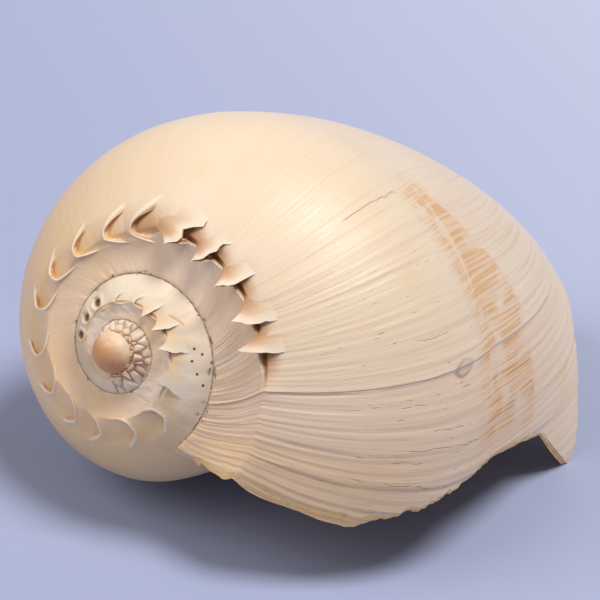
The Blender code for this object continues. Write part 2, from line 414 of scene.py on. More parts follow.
def finish(name, bm, material=None):
    mesh = bpy.data.meshes.new(name)
    bm.to_mesh(mesh)
    bm.free()
    obj = bpy.data.objects.new(name, mesh)
    bpy.context.scene.collection.objects.link(obj)
    if material:
        mesh.materials.append(material)
    print(name + ":", len(mesh.polygons), "faces")
    return obj


body = {
    "newest": 0.10,            # growth line at which the raw body ends, before the lip is broken
    "fineSpan": 1.25,          # newest part of it that has the finest rings
    "fineRings": 150,
    "coarseRings": 270,
    "rampSteps": (0.0, 0.003, 0.007, 0.014, 0.03, 0.05, 0.07, 0.09, 0.105, 0.114, 0.121, 0.128,
                  0.135, 0.143, 0.152, 0.159, 0.163, 0.167, 0.171, 0.175, 0.179, 0.184, 0.189,
                  0.194, 0.2, 0.205, 0.210, 0.215, 0.220, 0.226, 0.233, 0.242, 0.252, 0.266,
                  0.282),      # places along the outline, closest where the spines stand
    "bodySteps": 44,
    "columellaSteps": 8,
    "columellaShort": 0.16,    # how much sooner the columella ends, in radians of growth
    "plugDepth": 14.0,         # how far inside the outside the plug starts, mm
    "atSuture": 0.15,          # share of the newest growth that is left at the suture
    "mouthEnd": 152.5,         # the piece is cut off there along x as it lies, mm
    "olderWhorls": 2,
}


# The newest growth is drawn back towards the suture.
def drawnBack(s):
    least = body["atSuture"]
    return least + (1.0 - least) * smooth(s / 0.08)


# Solid body of the shell, with its mouth plugged by a sheet that the chamber later takes away.
def rawBody():
    ramp = list(body["rampSteps"])
    front = spread(coil["sutureAt"], 1.0, body["bodySteps"])[1:]
    lead = lag(0.0) - lag(coil["sutureAt"])
    span = math.tau - lead
    fine, coarse = body["fineRings"], body["coarseRings"]
    rings = [body["newest"] - span + (span - body["fineSpan"]) * i / coarse for i in range(coarse)]
    rings += spread(body["newest"] - body["fineSpan"], body["newest"], fine)
    chain = []
    for older in range(body["olderWhorls"], 0, -1):
        chain += [(older, s) for s in ramp[:-1]]
    suture = len(chain)
    chain += [(0, s) for s in ramp + front]
    solidEnd = len(chain)
    count = solidEnd + body["columellaSteps"]

    def shape(i, j):
        if j >= solidEnd:
            t = (j - solidEnd + 1) / body["columellaSteps"]
            short = body["columellaShort"] * smooth(t / 0.3)
            theta = rings[i] - short * smooth((rings[i] + 0.5) / 0.6)
            turn = theta + lag(1.0)
            g = growth(turn)
            r, a = flared(turn, 1.0)
            r, a = columella((g * r, g * a), t)
            return place(turn, r, a), (theta, 1.0 + t), (0.0, 0.0)
        older, s = chain[j]
        theta = rings[i] - older * (math.tau - lead)
        if older == 0 and theta > 0.0:
            theta *= drawnBack(s)
        h, hollow = relief(theta, s), hollowAt(theta, s)
        if s == coil["sutureAt"] or (s == 0.0 and older < body["olderWhorls"]):
            h = 0.0
        pit = groove = 0.0
        if -10.4 < theta < -8.7:
            pit = 1.0 - smooth((fromPit(theta, s) - 0.35) / 0.65)
        if theta < surface["groovesFrom"]:
            groove = 1.0 - smooth(knobs(theta, s) / 0.16)
        # The first mark gives the hollows and pits their tint, painted shade in them.
        down = (0.0, hollow * spines["hollow"] + pit * spines["pitDepth"])
        here = (offOutside(theta + lag(s), s, h, down), (theta, s), (max(hollow, pit), groove))
        if s == 0.0 and older < body["olderWhorls"]:
            return here + ((theta - (math.tau - lead), coil["sutureAt"]),)
        return here

    bm, cells = bendGrid(len(rings) - 1, count - 1, shape)
    last = len(rings) - 1
    beneath = suture + len(ramp) - 1
    # The new end is folded inwards first, so that the plug stays under the hollow ramp.
    tear = [bm.edges.get((cells[last, j], cells[last, j + 1])) for j in range(suture, count - 1)]
    where = {tuple(cells[last, j].co): j for j in range(suture, count)}
    folded = bmesh.ops.extrude_edge_only(bm, edges=tear)["geom"]
    for v in folded:
        if isinstance(v, bmesh.types.BMVert):
            j = where[tuple(v.co)]
            if j < solidEnd:
                s = chain[j][1]
                deep = body["plugDepth"] * smooth(s / 0.1) * (1.0 - smooth((s - 0.8) / 0.2))
                if deep > 0.5:
                    v.co = offOutside(rings[last] * drawnBack(s) + lag(s), s, -deep)
    tear = [e for e in folded if isinstance(e, bmesh.types.BMEdge) and e.is_boundary]
    tear = [e for e in tear if all(v in folded for v in e.verts)]
    tear += [bm.edges.get((cells[0, j], cells[0, j + 1])) for j in range(beneath, count - 1)]
    bmesh.ops.bridge_loops(bm, edges=tear)
    bmesh.ops.remove_doubles(bm, verts=bm.verts, dist=0.03)
    bmesh.ops.dissolve_degenerate(bm, edges=bm.edges, dist=0.01)
    ends = bmesh.ops.holes_fill(bm, edges=[e for e in bm.edges if e.is_boundary], sides=0)
    bmesh.ops.poke(bm, faces=[f for f in ends["faces"] if len(f.verts) > 4])
    bmesh.ops.recalc_face_normals(bm, faces=bm.faces)
    return finish("rawBody", bm)


# One scale-like spine, open to the newer side: a closed thin wall, sunk into the shoulder.
# q runs across it from the ramp side (-1) to the body side (1), p from its root to its rim.
def spine(index):
    rims = spines["rims"]
    rim = rims[index]
    gap = rim - rims[index + 1] if index + 1 < len(rims) else 0.4
    size = spineHeight(rim)
    inner = rim < spines["innerFrom"]
    worn = rim < spines["innerWornFrom"] or not inner and rim < spines["broken"][0]
    broken = spines["broken"][0] < rim < spines["broken"][1]
    root = rim - 0.85 * gap
    outerSteps, innerSteps, across = spines["steps"]
    around = outerSteps + innerSteps + 2
    tipR, tipA = spines["innerTip"] if inner else spines["tip"]
    toRamp, toBody = spineReach(rim)
    moreRamp, moreBody = spines["wornSides"] if worn else spines["fullSides"]
    if worn:
        rampSide, bodySide = toRamp + moreRamp, toBody + moreBody
    else:
        rampSide, bodySide = moreRamp * toRamp, moreBody * toBody

    def shape(i, j):
        q = -1.0 + 2.0 * j / across
        k = i % around
        inside = outerSteps < k <= outerSteps + innerSteps
        u = q * (rampSide if q < 0.0 else bodySide)
        if inside:
            u = 0.76 * u + (0.0 if worn else 0.003 * (1.0 - q * q))
        v = u / (rampSide if u < 0.0 else bodySide)
        s = spineLine(rim) + u
        if k <= outerSteps:
            p = 1.0 - (1.0 - k / outerSteps) ** 1.5
            down = 1.8 * (1.0 - p) ** 3
        elif inside:
            p = 1.0 - 0.75 * (k - outerSteps - 1) / (innerSteps - 1)
            down = spines["wall"] * (1.0 - 0.4 * p) + 2.4 * (1.0 - p) + 1.5 * q ** 6
        else:
            p = 0.08
            down = 5.0
        swell = max(0.0, 1.0 - q * q)
        if worn:
            arch = swell ** 0.8
            reach = rim + rimAhead(q)
        else:
            # A point in the middle of the rim, a broad hump at the root.
            if q > 0.0:
                pointed = swell ** 2 / (1.0 + (q / 0.22) ** 2)
                skirt = smooth((q - 0.66) / 0.34)
            else:
                pointed = max(0.0, 1.0 + q) ** 1.25
                skirt = smooth((-q - 0.88) / 0.12)
            hump = swell ** (3 if q < 0.0 else 7)
            arch = hump + (pointed - hump) * p
            reach = rim + gap * (0.14 * smooth(v / 0.3) + 0.16 * v if v > 0.0 else -0.06 * v)
            down += 2.2 * skirt
        if broken:
            jag = noise.noise(Vector((v * 5.0, rim * 7.0, 2.0)))
            jag = 0.10 + 0.26 * jag * smooth((v + 0.05) / 0.25)
            reach -= gap * jag * (1.0 - smooth((v - 0.45) / 0.3 if v > 0.0 else -v / 0.6))
        elif not worn:
            reach -= gap * 0.07 * noise.noise(Vector((v * 6.0, rim * 7.0, 2.0)))
        reach += 0.006 * noise.noise(Vector((v * 6.0, rim * 5.0, 6.0)))
        down += 0.45 * (1.0 - arch)
        theta = root + p * (reach - root)
        # The root follows the floor of the older hollow.
        x = 0.15 + 0.85 * p
        floorDepth = (1.0 - x) ** 0.9 * 0.85
        if worn or q > 0.0:
            floorDepth *= hollowAcross(rim, s)
        down += spines["hollow"] * floorDepth
        # The first mark gives the spine the tint of the hollow below it: painted shade, deepest at
        # its root.
        if worn:
            hollowTintAndShade = floorDepth ** 0.6
            edge = smooth((p - 0.90) / 0.08)
            lift = 1.8 * arch * p ** 2.5 + spines["wornRim"] * bell(p, 0.97, 0.06) * (1.0 - q ** 8)
            lift /= math.hypot(tipR, tipA)
        else:
            hollowTintAndShade = (1.0 - x) ** 0.6 * (1.0 - smooth(u / (1.9 * toBody)))
            edge = 0.7 * smooth((p - 0.6) / 0.4)
            rise = (3.6 if inside else 2.4) - smooth(q / 0.5)
            lift = arch * p ** rise * size
        # The inner wall, under the spine, gets the full tint: painted shade.
        if inside:
            hollowTintAndShade, edge = 1.0, 0.0
            lift *= 0.86
        turn = theta + lag(s)
        g = growth(turn)
        r, a = flared(turn, s)
        r, a = r + tipR * lift, a + tipA * lift + down
        return place(turn, g * r, g * a), (theta, s), (hollowTintAndShade, edge)

    bm, cells = bendGrid(around, across, shape)
    bmesh.ops.remove_doubles(bm, verts=bm.verts, dist=0.002)
    bmesh.ops.holes_fill(bm, edges=[e for e in bm.edges if e.is_boundary], sides=0)
    bmesh.ops.recalc_face_normals(bm, faces=bm.faces)
    return bm


# Every other spine, so that the walls of one mesh never cross.
def allSpines(first):
    joined = bmesh.new()
    for index in range(first, len(spines["rims"]), 2):
        bm = spine(index)
        part = bpy.data.meshes.new("spine")
        bm.to_mesh(part)
        bm.free()
        joined.from_mesh(part)
        bpy.data.meshes.remove(part)
    return finish("spines%d" % first, joined)


chamber = {
    "start": -1.45,            # whole turns back from the lip to its inner end
    "pastLip": 0.5,            # how far the tool runs past the lip, in radians
    "wall": 3.2,               # mm
    "wallAtLip": 2.0,
    "shoulderWall": 5.0,       # more wall under the hollows between the spines
    "folds": (0.94, 0.85, 0.765, 0.69),    # of the columella, along the outline
    "foldHeight": 3.2,
    "foldWidth": 0.022,
    "notchFrom": -1.8,         # the siphonal notch starts to open here
    "notchReach": 26.0,
    "notchRadius": 5.0,
    "parietalCut": 0.3,        # how far the tool cuts into the whorl beneath
    "parietalClear": 7.0,      # how far it has lifted off at its end
    "ringsPerTurn": 90,
}


# A point of the outline, drawn in by a depth.
def inward(turn, s, depth):
    r0, a0 = flared(turn, max(0.0, s - nearby))
    r1, a1 = flared(turn, min(1.0, s + nearby))
    length = math.hypot(r1 - r0, a1 - a0)
    r, a = flared(turn, s)
    return r - depth * (a1 - a0) / length, a + depth * (r1 - r0) / length


# The room inside the last whorl, as a closed horn that is cut out of the body.
def chamberHorn():
    c = chamber
    outer = spread(0.07, 0.3, 10) + spread(0.3, 0.975, 26)[1:]
    parietal = spread(1.0, 0.37, 60)
    newest = lipEdge[0][1]
    ends = (c["start"] * math.tau, newest + c["pastLip"])
    count = round((ends[1] - ends[0]) / math.tau * c["ringsPerTurn"])
    turns = spread(ends[0], ends[1], count)
    under = tuple(v / coil["expansion"] for v in outline(1.0))
    sections = []
    for turn in turns:
        past = max(0.0, (turn - newest) / c["pastLip"])
        lift = past * c["parietalClear"] - c["parietalCut"]
        thin = smooth((turn + 1.6) / 1.4)
        wall = c["wall"] + (c["wallAtLip"] - c["wall"]) * thin
        thick = c["shoulderWall"] * (1.0 - smooth((turn + 0.75) / 0.3))
        section = [inward(turn, s, wall + thick * bell(s, 0.215, 0.05)) for s in outer]
        for t in (0.8, 0.6, 0.4, 0.2):
            r, a = columella(under, t)
            section.append((r + lift, a))
        for s in parietal:
            fold = sum(bell(s, at, c["foldWidth"]) for at in c["folds"])
            rise = lift + c["foldHeight"] * fold / coil["expansion"] * (1.0 - past)
            r, a = inward(turn - math.tau, s, -rise * coil["expansion"])
            section.append((r / coil["expansion"], a / coil["expansion"]))
        p = smooth((turn - c["notchFrom"]) / 0.7)
        tip = len(outer) - 1
        section[tip] = (section[tip][0], section[tip][1] + p * c["notchReach"])
        r, a = section[tip + 1]
        front = (c["notchRadius"], coil["columellaTip"] + c["notchReach"] / 2.0)
        section[tip + 1] = (r + p * (front[0] - r), a + p * (front[1] - a))
        sections.append(section)
    around = len(sections[0])

    def shape(i, j):
        r, a = sections[i][j % around]
        g = growth(turns[i])
        return place(turns[i], g * r, g * a), (turns[i], j / around), (1.0, 0.0)

    bm, cells = bendGrid(count, around, shape)
    bmesh.ops.remove_doubles(bm, verts=bm.verts, dist=0.001)
    bmesh.ops.holes_fill(bm, edges=[e for e in bm.edges if e.is_boundary], sides=0)
    bmesh.ops.recalc_face_normals(bm, faces=bm.faces)
    return finish("chamberHorn", bm)


lip = {
    "steps": 420,
    "jag": 0.012,               # how ragged the edge is, in radians of growth
    "far": 0.15,
    "layers": (0.30, 0.62),     # where the layers of the wall part, from its outside
    "layerStep": 0.012,         # how much further each layer reaches than the one above
    "layerStepByCorner": 0.034,
    "clear": 5.0,               # how far the tool stands off the outside, mm
    "depth": (4.5, 3.5),        # how far it goes in, and how much more past the shoulder
}


# How far the broken edge departs from the lip line.
def lipJag(s, seed):
    ragged = 0.35 + smooth((s - 0.27) / 0.03) * (1.0 - smooth((s - 0.50) / 0.05)) * 1.3
    coarse = noise.noise(Vector((s * 55.0, seed, 0.2)))
    fine = noise.noise(Vector((s * 130.0, seed, 4.0)))
    return lip["jag"] * ragged * (coarse + 0.6 * fine)


# What broke away beyond the lip, with the stepped layers of the wall left behind.
def lipBreaker():
    steps = lip["steps"]
    wall = chamber["wallAtLip"]
    clear = lip["clear"]
    first, second = lip["layers"]
    shallow, more = lip["depth"]

    def shape(i, j):
        s = 0.001 + 0.985 * i / steps
        edge = edgeAt(s) - lag(s) + lipJag(s, 1.0)
        byCorner = smooth((s - 0.02) / 0.06) * (1.0 - smooth((s - 0.27) / 0.07))
        wide = lip["layerStep"] + (lip["layerStepByCorner"] - lip["layerStep"]) * byCorner
        step = wide * (0.9 + 0.3 * noise.noise(Vector((s * 30.0, 5.0, 1.0)))) * smooth(s / 0.1)
        step2 = wide * (0.9 + 0.3 * noise.noise(Vector((s * 26.0, 8.0, 1.0)))) * smooth(s / 0.1)
        step, step2 = max(0.001, step), max(0.001, step2)
        edge -= 1.4 * (wide - lip["layerStep"])
        deep = min(shallow + more * smooth((s - 0.26) / 0.1), 0.2 + 90.0 * s)
        far = max(lip["far"], edge + 0.08)
        path = (
            (edge, clear), (edge, -first * wall), (edge + step, -(first + 0.05) * wall),
            (edge + step, -second * wall), (edge + step + step2, -(second + 0.05) * wall),
            (edge + step + step2, -deep), (far, -deep), (far, clear),
        )
        theta, high = path[j % len(path)]
        return offOutside(theta + lag(s), s, max(high, -deep)), (theta, s), (0.0, 1.0)

    bm, cells = bendGrid(steps, 8, shape)
    bmesh.ops.remove_doubles(bm, verts=bm.verts, dist=0.001)
    bmesh.ops.holes_fill(bm, edges=[e for e in bm.edges if e.is_boundary], sides=0)
    bmesh.ops.recalc_face_normals(bm, faces=bm.faces)
    return finish("lipBreaker", bm)


dome = {
    "radius": 9.2,              # mm
    "rise": 4.6,                # how far it stands out before the apex
    "aside": (-0.2, 2.2),
    "growth": (-12.0, 0.1),     # the place that it has on the growth map
}


def domeBall():
    radius, rise = dome["radius"], dome["rise"]
    bm = bmesh.new()
    bmesh.ops.create_uvsphere(bm, u_segments=72, v_segments=36, radius=radius, calc_uvs=False)
    growthMap = bm.loops.layers.uv.new("growth")
    bm.loops.layers.uv.new("marks")
    for face in bm.faces:
        for loop in face.loops:
            loop[growthMap].uv = dome["growth"]
    bmesh.ops.translate(bm, verts=bm.verts, vec=(radius - rise,) + dome["aside"])
    return finish("domeBall", bm)


# A big block for cutting the shell off flat, centred on a place beside the lying shell.
def trimBlock(name, x, z):
    bm = bmesh.new()
    bmesh.ops.create_cube(bm, size=600.0)
    bm.loops.layers.uv.new("growth")
    bm.loops.layers.uv.new("marks")
    bmesh.ops.translate(bm, verts=bm.verts, vec=(x, 0.0, z))
    bmesh.ops.translate(bm, verts=bm.verts, vec=-Vector(coil["stand"]))
    bmesh.ops.transform(bm, matrix=lying().inverted(), verts=bm.verts)
    return finish(name, bm)


sharpFrom = 42.0                # degrees between two faces that meet in a sharp edge


def makeShell():
    shell = rawBody()
    # Each tool with what it does and the material of its faces, in the order of use.
    tools = (
        (allSpines(1), "UNION", 0),
        (allSpines(0), "UNION", 0),
        (chamberHorn(), "DIFFERENCE", 1),
        (lipBreaker(), "DIFFERENCE", 2),
        (domeBall(), "UNION", 3),
        (trimBlock("floorBlock", 0.0, -300.0), "DIFFERENCE", 0),
        (trimBlock("mouthBlock", body["mouthEnd"] + 300.0, 0.0), "DIFFERENCE", 2),
    )
    for name in ("outside", "inside", "brokenEdge", "firstWhorl"):
        material = bpy.data.materials.new(name)
        shell.data.materials.append(material)
        for tool, mode, index in tools:
            tool.data.materials.append(material)
    for tool, mode, index in tools:
        for polygon in tool.data.polygons:
            polygon.material_index = index
        modifier = shell.modifiers.new(tool.name, "BOOLEAN")
        modifier.object = tool
        modifier.operation = mode
        modifier.solver = "EXACT"
    bpy.context.view_layer.update()
    mesh = bpy.data.meshes.new_from_object(shell.evaluated_get(
        bpy.context.evaluated_depsgraph_get()))
    print("tools applied:", len(mesh.polygons), "faces")
    for obj in (shell,) + tuple(tool for tool, mode, index in tools):
        bpy.data.objects.remove(obj)
    bm = bmesh.new()
    bm.from_mesh(mesh)
    bmesh.ops.remove_doubles(bm, verts=bm.verts, dist=0.004)
    bmesh.ops.dissolve_degenerate(bm, edges=bm.edges, dist=0.003)
    # Where two walls touch along a hair-fine edge, that edge is closed up.
    bmesh.ops.collapse(bm, edges=[e for e in bm.edges if len(e.link_faces) > 2], uvs=False)
    bmesh.ops.transform(bm, matrix=lying(), verts=bm.verts)
    bmesh.ops.translate(bm, verts=bm.verts, vec=Vector(coil["stand"]))
    bmesh.ops.scale(bm, verts=bm.verts, vec=(mm, mm, mm))
    bm.to_mesh(mesh)
    bm.free()
    mesh.name = "balerShell"
    for polygon in mesh.polygons:
        polygon.use_smooth = True
    mesh.set_sharp_from_angle(angle=math.radians(sharpFrom))
    piece = bpy.data.objects.new("balerShell", mesh)
    bpy.context.scene.collection.objects.link(piece)
    return piece


# Directions in the shell's own terms, before it lies.
view = {
    "toApex": (0.8440, -0.3090, 0.4390),     # from the camera to the apex
    "ahead": (0.8756, -0.2837, 0.3909),      # where the camera looks
    "level": (0.531, 0.598, -0.600),         # its right-hand side
    "distance": 1284.0,                      # from the apex, mm
    "lens": 185.29,
    "sensor": 36.0,
    "sees": 20.0,                            # how far, m
}


def placeCamera():
    lay = lying().to_3x3()
    toApex = (lay @ Vector(view["toApex"])).normalized()
    eye = (Vector(coil["stand"]) - toApex * view["distance"]) * mm
    ahead = (lay @ Vector(view["ahead"])).normalized()
    side = lay @ Vector(view["level"])
    side = (side - ahead * side.dot(ahead)).normalized()
    up = side.cross(ahead)
    camera = bpy.data.cameras.new("camera")
    camera.sensor_width = view["sensor"]
    camera.lens = view["lens"]
    camera.clip_end = view["sees"]
    obj = bpy.data.objects.new("camera", camera)
    obj.matrix_world = Matrix.Translation(eye) @ Matrix((side, up, -ahead)).transposed().to_4x4()
    bpy.context.scene.collection.objects.link(obj)
    bpy.context.scene.camera = obj


# Helpers for material nodes. A value may be a number, a colour or another node's output.
def feed(tree, socket, value):
    if isinstance(value, bpy.types.NodeSocket):
        tree.links.new(value, socket)
    else:
        socket.default_value = value


def sums(tree, operation, a, b=0.0, c=0.0):
    node = tree.nodes.new("ShaderNodeMath")
    node.operation = operation
    for socket, value in zip(node.inputs, (a, b, c)):
        feed(tree, socket, value)
    return node.outputs[0]


def times(tree, *values):
    result = values[0]
    for value in values[1:]:
        result = sums(tree, "MULTIPLY", result, value)
    return result


# Rises softly from 0 to 1 as the value goes from low to high.
def rising(tree, value, low, high, top=1.0):
    node = tree.nodes.new("ShaderNodeMapRange")
    node.interpolation_type = "SMOOTHSTEP"
    feed(tree, node.inputs["Value"], value)
    feed(tree, node.inputs["From Min"], low)
    feed(tree, node.inputs["From Max"], high)
    node.inputs["To Max"].default_value = top
    return node.outputs["Result"]


def within(tree, value, low, high, soft):
    return times(tree, rising(tree, value, low - soft, low + soft),
                 rising(tree, value, high + soft, high - soft))


def speckle(tree, source, scale, detail=2.0, seed=0.0, rough=0.5):
    mapping = tree.nodes.new("ShaderNodeMapping")
    mapping.inputs["Scale"].default_value = scale
    mapping.inputs["Location"].default_value = (seed, seed * 0.7, seed * 0.3)
    tree.links.new(source, mapping.inputs["Vector"])
    node = tree.nodes.new("ShaderNodeTexNoise")
    node.inputs["Scale"].default_value = 1.0
    node.inputs["Detail"].default_value = detail
    node.inputs["Roughness"].default_value = rough
    tree.links.new(mapping.outputs["Vector"], node.inputs["Vector"])
    return node.outputs["Fac"]


def tint(tree, factor, under, over):
    node = tree.nodes.new("ShaderNodeMix")
    node.data_type = "RGBA"
    feed(tree, node.inputs[0], factor)
    for socket, value in ((node.inputs[6], under), (node.inputs[7], over)):
        feed(tree, socket, value if isinstance(value, bpy.types.NodeSocket) else value + (1.0,))
    return node.outputs[2]


# Lays a colour over another, as strongly as all the amounts multiplied together say.
def laid(tree, under, over, *amounts):
    return tint(tree, times(tree, *amounts), under, over)


def mapOf(tree, name):
    node = tree.nodes.new("ShaderNodeUVMap")
    node.uv_map = name
    parts = tree.nodes.new("ShaderNodeSeparateXYZ")
    tree.links.new(node.outputs["UV"], parts.inputs[0])
    return node.outputs["UV"], parts.outputs["X"], parts.outputs["Y"]


def objectPlace(tree):
    return tree.nodes.new("ShaderNodeTexCoord").outputs["Object"]


# A thin line on the growth map from one place to another, 1 in its middle.
def crack(tree, theta, s, start, end, width, soft=0.006):
    (theta0, s0), (theta1, s1) = start, end
    slope = (theta1 - theta0) / (s1 - s0)
    line = sums(tree, "MULTIPLY_ADD", s, slope, theta0 - slope * s0)
    away = sums(tree, "ABSOLUTE", sums(tree, "SUBTRACT", theta, line))
    return times(tree, rising(tree, away, width, 0.2 * width), within(tree, s, s0, s1, soft))


# A round spot on the growth map.
def spot(tree, theta, s, at, width, height):
    dx = sums(tree, "DIVIDE", sums(tree, "SUBTRACT", theta, at[0]), width)
    dy = sums(tree, "DIVIDE", sums(tree, "SUBTRACT", s, at[1]), height)
    far = sums(tree, "ADD", times(tree, dx, dx), times(tree, dy, dy))
    return rising(tree, far, 1.0, 0.25)


def bumpOf(tree, shader, height, depth, strength=1.0):
    node = tree.nodes.new("ShaderNodeBump")
    node.inputs["Strength"].default_value = strength
    node.inputs["Distance"].default_value = depth
    tree.links.new(height, node.inputs["Height"])
    tree.links.new(node.outputs["Normal"], shader.inputs["Normal"])


def startMaterial(name):
    material = bpy.data.materials[name]
    material.use_nodes = True
    return material.node_tree, material.node_tree.nodes["Principled BSDF"]


outside = {
    "cream": (0.85, 0.68, 0.49),
    "ivory": (0.87, 0.74, 0.57),
    "blush": (0.82, 0.61, 0.455),
    "honey": (0.80, 0.54, 0.27),
    "chalk": (0.88, 0.77, 0.63),
    "orange": (0.76, 0.40, 0.12),
    "tan": (0.56, 0.42, 0.29),
    "rust": (0.48, 0.21, 0.075),
    "brown": (0.17, 0.075, 0.035),
    "umber": (0.34, 0.20, 0.12),
    "oxblood": (0.30, 0.085, 0.04),
    # painted shade in the hollows of the unworn spines
    "deep": (0.36, 0.15, 0.055),
    "grey": (0.46, 0.37, 0.34),
    "gloss": (0.26, 0.22),      # least roughness, and how much more the growth lines add
    "bump": 0.00022,            # m
}

# Where its marks are on the growth map: radians of growth, and places along the outline.
marked = {
    "band": (-1.22, -0.22),     # oldest and newest end of the orange band
    "bandFront": (0.575, 0.075),    # its edge towards the front, and how much further when new
    "bandBack": (0.445, 0.035),
    "plate": ((-0.556, 0.03), (-0.556, 0.74), 0.0035),
    "cracks": (((-0.185, 0.275), (-0.150, 0.405), 0.0035),    # start, end and width
               ((-0.305, 0.310), (-0.285, 0.465), 0.003),
               ((-1.262, 0.315), (-1.238, 0.445), 0.0035),
               ((-0.482, 0.275), (-0.476, 0.305), 0.003),
               ((-0.468, 0.315), (-0.463, 0.345), 0.003),
               ((-0.262, 0.305), (-0.256, 0.335), 0.0035),
               ((-0.365, 0.36), (-0.355, 0.42), 0.003),
               ((-0.70, 0.34), (-0.69, 0.40), 0.002)),
    "pinholes": ((-6.62, 0.262), (-6.74, 0.247), (-6.90, 0.236), (-6.97, 0.258), (-7.05, 0.243)),
    "pinhole": (0.022, 0.0035),     # width and height of each
    "pitRows": (0.222, 0.220, 0.224),    # where along the outline the pits are darkest
    "pit": (0.095, 0.015),
    "scar": ((-0.550, 0.425), 0.036, 0.030),
    "scarMiddle": ((-0.553, 0.428), 0.030, 0.025),
    "stroke": ((-10.49, 0.230), 0.05, 0.012),
    "strokeSlant": -13.0,
}


# Cream, honey and blush as the growth and the weather left them, with the growth lines.
def bodyColours(tree, at, broad):
    c = outside
    theta, s, cloud, fine = at.theta, at.s, at.cloud, at.fine
    colour = tint(tree, rising(tree, broad, 0.35, 0.65), c["cream"], c["ivory"])
    older = within(tree, theta, -6.2, -2.5, 0.7)
    colour = laid(tree, colour, c["honey"], older, rising(tree, s, 0.75, 0.30), 0.85)
    onRamp = rising(tree, s, 0.215, 0.195)
    colour = laid(tree, colour, c["blush"], onRamp, 0.65)
    colour = laid(tree, colour, c["honey"], onRamp, rising(tree, cloud, 0.40, 0.65), 0.5)
    inner = rising(tree, theta, -6.0, -6.5)
    colour = laid(tree, colour, c["chalk"], inner, rising(tree, cloud, 0.60, 0.38), 0.6)
    byPits = within(tree, theta, -11.0, -8.9, 0.3)
    colour = laid(tree, colour, c["tan"], byPits, rising(tree, cloud, 0.30, 0.55), 0.6)
    colour = laid(tree, colour, c["blush"], at.newest, rising(tree, s, 0.85, 0.6), 0.75)
    nearLip = times(tree, rising(tree, theta, -0.42, -0.15), rising(tree, s, 0.42, 0.30))
    colour = laid(tree, colour, c["honey"], nearLip, 0.55)
    fresh = rising(tree, theta, -2.0, -0.9)
    clear = sums(tree, "MULTIPLY_ADD", fresh, 0.20, 0.05)
    colour = laid(tree, colour, c["rust"], rising(tree, fine, 0.52, 0.75), clear)
    colour = laid(tree, colour, c["chalk"], rising(tree, fine, 0.46, 0.28), clear)
    return laid(tree, colour, c["honey"], rising(tree, cloud, 0.55, 0.8), 0.30)


# Orange band, made of strokes along the growth lines, with a sharp front edge.
def orangeBand(tree, at, colour):
    c = outside
    oldest, newest = marked["band"]
    isNew = rising(tree, at.theta, -1.2, -0.62)
    edges = []
    for line, more in (marked["bandFront"], marked["bandBack"]):
        edges.append(sums(tree, "MULTIPLY_ADD", isNew, more, line))
    front, back = edges
    strokes = speckle(tree, at.growth, (125.0, 4.0, 1.0), 3.0, 9.0, 0.55)
    ragged = sums(tree, "ADD", at.s, sums(tree, "MULTIPLY_ADD", strokes, 0.05, -0.025))
    pastBack = rising(tree, sums(tree, "SUBTRACT", ragged, back), -0.02, 0.06)
    beforeFront = rising(tree, sums(tree, "SUBTRACT", ragged, front), 0.006, -0.006)
    along = within(tree, at.theta, oldest, newest, 0.10)
    patchy = rising(tree, speckle(tree, at.growth, (7.0, 22.0, 1.0), 2.0, 3.0), 0.30, 0.55)
    band = times(tree, times(tree, pastBack, beforeFront), along, patchy)
    colour = laid(tree, colour, c["orange"], band, 0.24)
    colour = laid(tree, colour, c["orange"], band, rising(tree, strokes, 0.46, 0.56), 0.85)
    darkest = rising(tree, strokes, 0.54, 0.64)
    return laid(tree, colour, c["rust"], band, darkest, at.newest, 0.7)


# Hollows between the spines, tinted rust or honey with painted shade, their pale rims, and the
# grooves between the first knobs.
def spineColours(tree, at, colour):
    c = outside
    theta, hollow = at.theta, at.hollow
    # Painted shade: the deeper a place lies in a hollow or pit, the more rust or honey it gets.
    worn = rising(tree, theta, -1.9, -2.6)
    hollowTintAndShadeColour = tint(tree, worn, c["rust"], c["honey"])
    hollowShadeEnd = sums(tree, "MULTIPLY_ADD", worn, 0.35, 0.50)
    colour = laid(tree, colour, hollowTintAndShadeColour, rising(tree, hollow, 0.06, hollowShadeEnd), 0.75)
    # Painted shade: a darker brown still in the hollows of the unworn spines.
    unworn = rising(tree, theta, -2.6, -1.9)
    colour = laid(tree, colour, c["deep"], rising(tree, hollow, 0.35, 0.85), unworn, 0.9)
    pale = rising(tree, at.rim, 0.2, 0.9, 0.85)
    colour = laid(tree, colour, c["chalk"], pale, rising(tree, theta, -11.4, -11.2))
    first = rising(tree, theta, -11.2, -11.4)
    grooves = times(tree, first, at.rim, rising(tree, at.cloud, 0.42, 0.56))
    return laid(tree, colour, c["oxblood"], grooves, 0.95)


# Dark lines along the suture and beside it, dark spots on the pinholes, and painted shade in the
# pits.
def seamsAndPitShade(tree, at):
    theta, s = at.theta, at.s
    grit = speckle(tree, at.growth, (70.0, 200.0, 1.0), 2.0, 8.0)
    dots = speckle(tree, at.growth, (11.0, 60.0, 1.0), 2.0, 3.0)
    inner = rising(tree, theta, -6.05, -6.15)
    seam = sums(tree, "MAXIMUM", rising(tree, s, 0.003, 0.001),
                times(tree, inner, rising(tree, s, 0.279, 0.2815)))
    fringe = sums(tree, "MAXIMUM", rising(tree, s, 0.016, 0.004),
                  times(tree, inner, rising(tree, s, 0.262, 0.277)))
    lines = sums(tree, "MAXIMUM", times(tree, seam, rising(tree, grit, 0.40, 0.56), 0.8),
                 times(tree, fringe, rising(tree, dots, 0.60, 0.66), 0.8))
    for place in marked["pinholes"]:
        lines = sums(tree, "MAXIMUM", lines, spot(tree, theta, s, place, *marked["pinhole"]))
    # Painted shade in the pits.
    for place in zip(spines["pits"], marked["pitRows"]):
        pitShade = times(tree, spot(tree, theta, s, place, *marked["pit"]), 0.8)
        lines = sums(tree, "MAXIMUM", lines, pitShade)
    return lines


